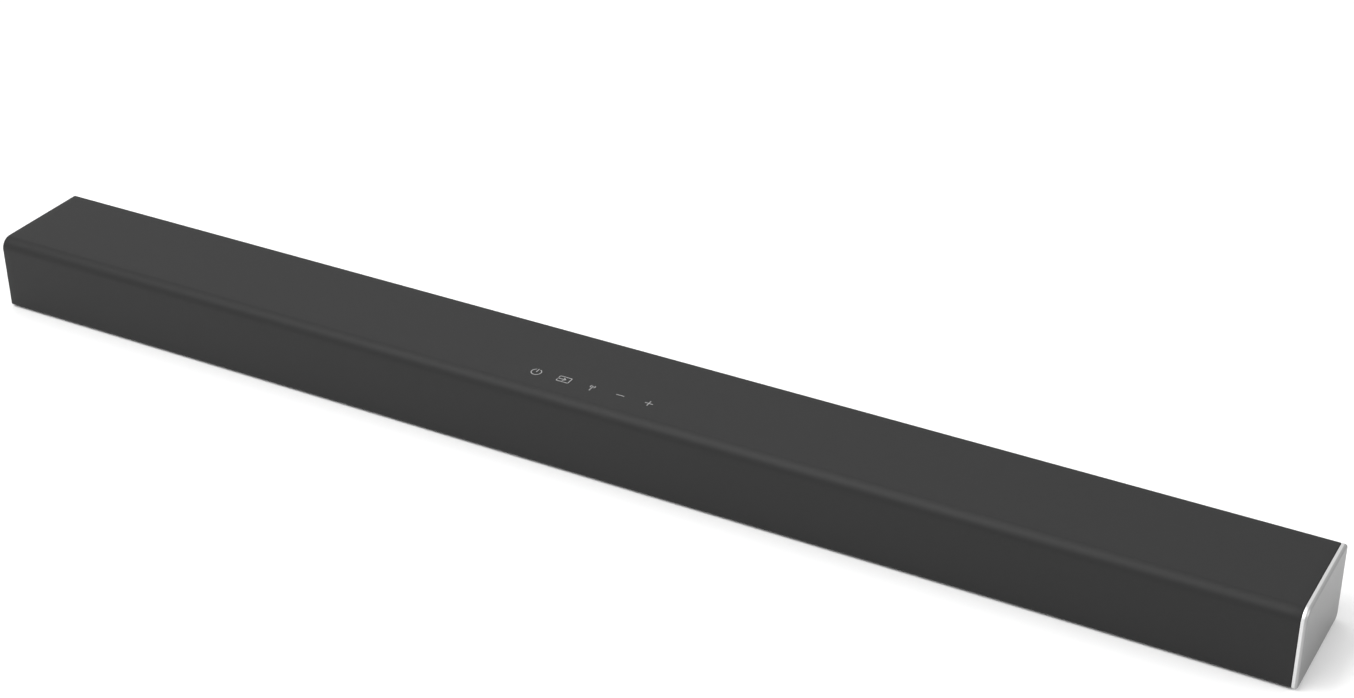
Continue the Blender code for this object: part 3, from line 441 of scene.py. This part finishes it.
def wrap_points():
    """The fabric's way round the bar in (y, z): under the front, up, over and down the back."""
    low, front, back = FRONT_BOTTOM_RADIUS, FRONT_TOP_RADIUS, BACK_TOP_RADIUS
    start = (TUCK_Y, BASE)
    under = (FRONT + low, BASE)
    points = [(Vector(start), Vector((0, -1)))]
    points += line_points(start, under, (0, -1), 3 * MM)
    points += arc_points((FRONT + low, BASE + low), low, 270, 180, 6)
    points += line_points((FRONT, BASE + low), (FRONT, TOP - front), (-1, 0), 4 * MM)
    points += arc_points((FRONT + front, TOP - front), front, 180, 90, 16)
    points += line_points((FRONT + front, TOP), (BACK - back, TOP), (0, 1), 4 * MM)
    points += arc_points((BACK - back, TOP - back), back, 90, 0, 8)
    points += line_points((BACK, TOP - back), (BACK, TUCK_Z), (1, 0), 3 * MM)
    points.append((Vector((BACK, TUCK_Z)), Vector((1, 0))))
    return points


def rolled(stations, depth, hem):
    """A run of distances with a turned-in edge at both ends: (distance, depth below the surface)."""
    low, high = stations[0], stations[-1]
    roll = depth / 2
    edge = []
    for angle in (90, 60, 30, 0, -30, -60, -90):
        turn = math.radians(angle)
        edge.append((roll - roll * math.cos(turn), roll - roll * math.sin(turn)))
    first = [(low + hem, depth)] + [(low + along, below) for along, below in reversed(edge)]
    last = [(high - along, below) for along, below in edge] + [(high - hem, depth)]
    inner = [(x, 0.0) for x in stations[1:-1] if low + 1.5 * roll < x < high - 1.5 * roll]
    return first + inner + last


def key_centre(kind):
    low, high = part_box("key_" + kind)
    return (low + high) / 2


def make_cloth_over(kind, height, distance_at):
    """Cloth over a key that goes down with it, and flat rings of cloth round that, out to the rest.
    """
    centre = key_centre(kind)
    body = "key_" + kind

    def add_cloth(name, quads, rides_on):
        bm = bmesh.new()
        uv = bm.loops.layers.uv.new("cloth")
        for quad in quads:
            for loop in face_up(bm, [(x, y, height) for x, y in quad]).loops:
                loop[uv].uv = (loop.vert.co.x, distance_at(loop.vert.co.y))
        bmesh.ops.remove_doubles(bm, verts=bm.verts, dist=0.001 * MM)
        return add_piece(name, bm, "fabric", rides_on)

    def around(reach, *corners):
        return [(centre.x + reach * side, centre.y + reach * end) for side, end in corners]

    whole = around(PRESSED, (-1, -1), (1, -1), (1, 1), (-1, 1))
    pieces = [add_cloth("cloth_" + kind, [whole], body)]
    reaches = [
        STILL + (PRESSED - STILL) * step / SLOPE_STEPS for step in range(SLOPE_STEPS + 1)
    ]
    sides = {
        "right": ((1, -1), (1, 1)),
        "left": ((-1, 1), (-1, -1)),
        "back": ((1, 1), (-1, 1)),
        "front": ((-1, -1), (1, -1)),
    }
    for side, ends in sides.items():
        quads = []
        for outer, inner in zip(reaches, reaches[1:]):
            quads.append(around(outer, *ends) + around(inner, *reversed(ends)))
        slope = add_cloth(f"cloth_{kind}_{side}", quads, None)
        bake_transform(slope)
        pieces.append(slope)
    return pieces


def make_fabric():
    """One sheet of cloth round the bar, each edge turned in, over keys that press through it."""
    around = wrap_points()
    distances = [0.0]
    for (before, _), (point, _) in zip(around, around[1:]):
        distances.append(distances[-1] + (point - before).length)
    top_start = next(i for i, (_, normal) in enumerate(around) if normal.y > 0.999)

    def distance_at(y):
        """How far along the cloth a place on the flat top is."""
        return distances[top_start] + y - around[top_start][0].x

    def at(distance):
        pairs = zip(around, around[1:], distances, distances[1:])
        for (start, normal), (end, following), low, high in pairs:
            if distance <= high + 1e-9:
                share = (distance - low) / (high - low)
                return start.lerp(end, share), normal.lerp(following, share).normalized()
        return around[-1]

    centres = [key_centre(kind) for kind in KEYS]
    key_line = centres[0].y
    key_rows = {distance_at(key_line + STILL * side) for side in (-1, 1)}
    key_columns = {centre.x + STILL * side for centre in centres for side in (-1, 1)}
    along = [LEFT + (SLEEVE_RIGHT - LEFT) * i / COLUMNS for i in range(COLUMNS + 1)]
    rows = rolled(sorted({*distances, *key_rows}), FABRIC, HEM)
    stations = rolled(sorted({*along, *key_columns}), FABRIC, HEM)

    def over_key(distance, x):
        if abs(distance - distance_at(key_line)) >= STILL:
            return False
        return any(abs(x - centre.x) < STILL for centre in centres)

    bm = bmesh.new()
    uv = bm.loops.layers.uv.new("cloth")
    grid = []
    for distance, row_depth in rows:
        place, normal = at(distance)
        line = []
        for x, column_depth in stations:
            y, z = place - normal * (SETTLE + max(row_depth, column_depth))
            line.append(bm.verts.new((x, y, z)))
        grid.append(line)
    for i, (first, second) in enumerate(zip(grid, grid[1:])):
        near, far = rows[i][0], rows[i + 1][0]
        for j in range(len(stations) - 1):
            left, right = stations[j][0], stations[j + 1][0]
            if over_key((near + far) / 2, (left + right) / 2):
                continue
            face = bm.faces.new((first[j], first[j + 1], second[j + 1], second[j]))
            corners = ((left, near), (right, near), (right, far), (left, far))
            for loop, corner in zip(face.loops, corners):
                loop[uv].uv = corner
    loose = [vert for vert in bm.verts if not vert.link_faces]
    bmesh.ops.delete(bm, geom=loose, context="VERTS")
    fabric = add_piece("acoustic_fabric", bm, "fabric")
    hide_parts("fabric_sleeve")
    patches = [patch for kind in KEYS for patch in make_cloth_over(kind, TOP - SETTLE, distance_at)]


def outline_points(inset):
    """The bar's full outline at an inset, in (y, z), with its corners kept round."""
    corners = (
        (FRONT, BASE, 1, 1, FRONT_BOTTOM_RADIUS, 270, 180, 6),
        (FRONT, TOP, 1, -1, FRONT_TOP_RADIUS, 180, 90, 18),
        (BACK, TOP, -1, -1, BACK_TOP_RADIUS, 90, 0, 8),
        (BACK, BASE, -1, 1, BACK_BOTTOM_RADIUS, 0, -90, 12),
    )
    points = []
    for y, z, side_y, side_z, radius, start, end, steps in corners:
        left = max(radius - inset, SMALLEST_RADIUS)
        centre = (y + side_y * (inset + left), z + side_z * (inset + left))
        points += [point for point, _ in arc_points(centre, left, start, end, steps)]
    return points


def cap_profile():
    """The cap's profile as (x, inset), in three runs: its spigot, its rim, and its bevel and face."""
    inner = SLEEVE_RIGHT + CAP_GAP
    bevel_start = RIGHT - CAP_BEVEL_WIDE
    spigot = [
        (CAP_INSIDE, CAP_SPIGOT + CAP_SPIGOT_WALL),
        (CAP_INSIDE, CAP_SPIGOT),
        (inner, CAP_SPIGOT),
    ]
    rim = [
        (inner, CAP_BREAK),
        (inner + 0.08 * MM, 0.07 * MM),
        (inner + CAP_BREAK, 0.0),
        (bevel_start, 0.0),
    ]
    bevel = []
    for step in range(1, CAP_BEVEL_STEPS + 1):
        turn = math.radians(90 * step / CAP_BEVEL_STEPS)
        x = bevel_start + CAP_BEVEL_WIDE * math.sin(turn)
        bevel.append((x, CAP_BEVEL_DEEP * (1 - math.cos(turn))))
    return spigot, rim, bevel + [(RIGHT, inset) for inset in CAP_FACE_RINGS]


def make_right_cap():
    """The silver slab: a flat rim next to the fabric, painted bright as a highlight, then a round
    bevel into the face, which is painted darker as shade.
    """
    spigot, rim, face_side = cap_profile()
    outside = rim + face_side
    profile = spigot + outside
    reached = [0.0]
    for (x0, inset0), (x1, inset1) in zip(outside, outside[1:]):
        reached.append(reached[-1] + math.hypot(x1 - x0, inset1 - inset0))
    rim_end = reached[len(rim) - 1]
    # The cap's material paints a highlight on the rim and shade on the face.
    LOOKS["cap"] = cap_look(rim_end, rim_end + (CAP_BEVEL_WIDE + CAP_BEVEL_DEEP) * 0.8)
    reached = [0.0] * len(spigot) + reached

    bm = bmesh.new()
    uv = bm.loops.layers.uv.new("cap")
    loops = []
    for x, inset in profile:
        loops.append([bm.verts.new((x, y, z)) for y, z in outline_points(inset)])
    for first, second, low, high in zip(loops, loops[1:], reached, reached[1:]):
        for i in range(len(first)):
            j = (i + 1) % len(first)
            face = bm.faces.new((first[i], first[j], second[j], second[i]))
            for loop, along in zip(face.loops, (low, low, high, high)):
                loop[uv].uv = (along, 0.0)
    face = bm.faces.new(loops[-1])
    for loop in face.loops:
        loop[uv].uv = (reached[-1], 0.0)
    bmesh.ops.recalc_face_normals(bm, faces=bm.faces)
    cap = add_piece("end_cap_right_shell", bm, "silver", look="cap")
    cap.data.set_sharp_from_angle(angle=math.radians(40))
    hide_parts("end_cap_right")


# A finer copy of a CAD node: what is flat, what is a sharp edge, and how far edges are rounded
FLAT_WITHIN = math.radians(0.5)
SHARP_FROM = math.radians(35)
CAP_EDGE = 0.6 * MM
SHELL_EDGE = 0.25 * MM
SMALL_EDGE = 0.12 * MM


def paint_board_parts(mesh):
    """Gives what stands above either side of a board the look of its parts."""
    mesh.materials.append(LOOKS["board_parts"])
    board = max(mesh.polygons, key=lambda face: face.area)
    normal = board.normal.copy()
    large = [face for face in mesh.polygons if face.area > board.area * 0.3]
    levels = [face.center.dot(normal) for face in large]
    low, high = min(levels) - 0.1 * MM, max(levels) + 0.1 * MM
    for face in mesh.polygons:
        if not low < face.center.dot(normal) < high:
            face.material_index = 1


def edge_of(node):
    """How far a node's edges are rounded."""
    if node.endswith("_lead") or node.startswith("speaker_lead"):
        return 0
    if node == "end_cap_left":
        return CAP_EDGE
    if node in ("rear_cover", "socket_tray"):
        return SHELL_EDGE
    return SMALL_EDGE


def make_fine_copy(node, slot, body):
    """A copy of a CAD node with welded corners and soft edges."""
    source = frame["nodes"][node]
    bm = bmesh.new()
    bm.from_mesh(source.data)
    bmesh.ops.remove_doubles(bm, verts=bm.verts, dist=0.002 * MM)
    bmesh.ops.dissolve_limit(bm, angle_limit=FLAT_WITHIN, verts=bm.verts, edges=bm.edges)
    bmesh.ops.recalc_face_normals(bm, faces=bm.faces)
    piece = add_piece(node + "_finish", bm, slot, body)
    piece.data.set_sharp_from_angle(angle=SHARP_FROM)
    edge = edge_of(node)
    if edge:
        bevel = piece.modifiers.new("soft edges", "BEVEL")
        bevel.width = edge
        bevel.segments = 2
        bevel.limit_method = "ANGLE"
        bevel.angle_limit = SHARP_FROM
        bevel.use_clamp_overlap = True
    flat = piece.modifiers.new("large faces stay flat", "WEIGHTED_NORMAL")
    flat.keep_sharp = True
    if slot == "circuit_board":
        paint_board_parts(piece.data)
    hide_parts(node)


# The printed marks

MARK_LINE = 0.6 * MM
MARK_DEPTH = 0.01 * MM  # the print lies this much under the CAD surface
WIRELESS_DOT = 0.9  # millimetres up its mark


def ribbon_mark(bm, points, width, z):
    """A line of even width through points, in pieces that meet at its corners."""
    points = [Vector(point) for point in points]
    ways = [end - start for start, end in zip(points, points[1:])]
    closed = (points[0] - points[-1]).length < 1e-6
    befores = [ways[-1] if closed else ways[0], *ways]
    afters = [*ways, ways[0] if closed else ways[-1]]
    sides = []
    for point, before, after in zip(points, befores, afters):
        way = (before.normalized() + after.normalized()).normalized()
        mitre = max(0.5, way.dot(after.normalized()))
        across = Vector((-way.y, way.x)) * width / 2 / mitre
        sides.append((point + across, point - across))
    for (a, b), (c, d) in zip(sides, sides[1:]):
        face_up(bm, [(*corner, z) for corner in (a, b, d, c)])


def ring_points(centre, radius, start, end, steps=28):
    points = []
    for i in range(steps + 1):
        angle = math.radians(start + (end - start) * i / steps)
        x = centre[0] + radius * math.cos(angle)
        points.append((x, centre[1] + radius * math.sin(angle)))
    return points


def strokes_of(kind):
    """The lines of a mark, in millimetres from its key's centre. None crosses another."""
    half = MARK_LINE / 2 / MM
    if kind == "power":
        return [ring_points((0, -0.2), 3.3, 90 + 24, 450 - 24), [(0, 3.6), (0, -0.2)]]
    if kind == "input":
        left_end = [(-4.2, -1.1), (-4.2, -2.4), (-3.8, -2.9)]
        right_end = [(3.8, -2.9), (4.2, -2.4), (4.2, 2.4), (3.8, 2.9)]
        top_left = [(-3.8, 2.9), (-4.2, 2.4), (-4.2, 1.1)]
        arrow = [[(-4.5, 0), (0.6, 0)], [(-0.8, 1.6), (1.2, 0), (-0.8, -1.6)]]
        return [left_end + right_end + top_left, *arrow]
    if kind == "wireless":
        mast = [(0, -3.9), (0, WIRELESS_DOT - 0.7)]
        dot = (0, WIRELESS_DOT)
        return [mast] + [ring_points(dot, 1.6, start, start + 100, 14) for start in (-50, 130)]
    minus = [[(-2.8, 0), (2.8, 0)]]
    if kind == "volume_down":
        return minus
    return minus + [[(0, -2.8), (0, -half)], [(0, half), (0, 2.8)]]


def make_marks():
    """Power, input, wireless, minus and plus, printed on the cloth over their keys."""
    ink = Look("printed_marks", grey(0.5), 0.6)
    wear = ink.noise(2500.0, 2.0)
    ink.paint("Base Color", ink.mix(wear, grey(0.2), grey(0.32)))
    ink.bump(wear, 0.02 * MM)
    LOOKS["marks"] = ink.material
    z = TOP - MARK_DEPTH
    for kind in KEYS:
        centre = key_centre(kind)
        bm = bmesh.new()
        for stroke in strokes_of(kind):
            points = [(centre.x + x * MM, centre.y + y * MM) for x, y in stroke]
            ribbon_mark(bm, points, MARK_LINE, z)
        if kind == "wireless":
            dot = ring_points((centre.x, centre.y + WIRELESS_DOT * MM), 0.55 * MM, 0, 342, 19)
            face_up(bm, [(x, y, z) for x, y in dot])
        add_piece("mark_" + kind, bm, "fabric", "key_" + kind, look="marks")


# Floor, light and camera

FLOOR_SIZE = 6.0
WORLD = 0.81
MIDDLE = (0.0, 0.0, 0.03)
RIGHT_PART = (0.4, 0.0, 0.03)

# Name, place, what it is aimed at, size and power in watts
SOFTBOXES = (
    ("front_softbox", (-0.62, -1.22, 1.95), MIDDLE, (2.0, 1.3), 33.0),
    ("top_softbox", (-0.42, 0.0, 2.1), MIDDLE, (2.0, 0.5), 13.0),
    ("right_softbox", (1.9, -0.1, 1.2), RIGHT_PART, (1.3, 1.0), 12.0),
)

# The camera looks back along this way from its place
CAMERA_AZIMUTH = math.radians(28.169)
CAMERA_ELEVATION = math.radians(30.737)
CAMERA_PLACE = (0.69687, -1.16069, 0.8601 + BASE)
CAMERA_LENS = 67.404
CAMERA_SENSOR = 36.0
CAMERA_SHIFT = (-0.02807, 0.01495)


def make_floor():
    bm = bmesh.new()
    bmesh.ops.create_grid(bm, x_segments=1, y_segments=1, size=FLOOR_SIZE)
    mesh = bpy.data.meshes.new("floor")
    bm.to_mesh(mesh)
    bm.free()
    look = Look("pale_floor", grey(0.81), 0.85, Specular_IOR_Level=0.2)
    look.paint("Base Color", look.mix(look.noise(3.0, 2.0), grey(0.80), grey(0.82)))
    mesh.materials.append(look.material)
    floor = bpy.data.objects.new("floor", mesh)
    bpy.context.scene.collection.objects.link(floor)


def add_softbox(name, place, aim, size, power):
    light = bpy.data.lights.new(name, "AREA")
    light.shape = "RECTANGLE"
    light.size, light.size_y = size
    light.energy = power
    obj = bpy.data.objects.new(name, light)
    obj.location = place
    obj.rotation_euler = (Vector(aim) - Vector(place)).to_track_quat("-Z", "Y").to_euler()
    bpy.context.scene.collection.objects.link(obj)


def make_light():
    """White all round, with wide softboxes over the front and overhead, and one on the right."""
    world = bpy.data.worlds.new("studio")
    world.use_nodes = True
    background = world.node_tree.nodes["Background"]
    background.inputs["Color"].default_value = (1, 1, 1, 1)
    background.inputs["Strength"].default_value = WORLD
    bpy.context.scene.world = world
    for softbox in SOFTBOXES:
        add_softbox(*softbox)


def make_camera():
    """The viewing angle is 28 degrees round to the right and 31 degrees up."""
    camera = bpy.data.objects.new("camera", bpy.data.cameras.new("camera"))
    camera.data.lens = CAMERA_LENS
    camera.data.sensor_width = CAMERA_SENSOR
    camera.data.shift_x, camera.data.shift_y = CAMERA_SHIFT
    camera.location = CAMERA_PLACE
    level = math.cos(CAMERA_ELEVATION)
    back = Vector(
        (
            math.sin(CAMERA_AZIMUTH) * level,
            -math.cos(CAMERA_AZIMUTH) * level,
            math.sin(CAMERA_ELEVATION),
        )
    )
    camera.rotation_euler = (-back).to_track_quat("-Z", "Y").to_euler()
    bpy.context.scene.collection.objects.link(camera)
    bpy.context.scene.camera = camera


def main():
    make_camera()
    make_floor()
    make_light()
    make_fabric()
    make_right_cap()
    make_marks()
    record = frame["record"]
    bodies = record["behaviour"]["bodies"]
    body_of = {node: body for body, nodes in bodies.items() for node in nodes}
    for part in record["subparts"]:
        node, slot = part["node"], part["material_slot"]
        if node not in ("fabric_sleeve", "end_cap_right"):
            make_fine_copy(node, slot, body_of[node])
    bpy.context.scene.view_settings.view_transform = "Standard"


main()
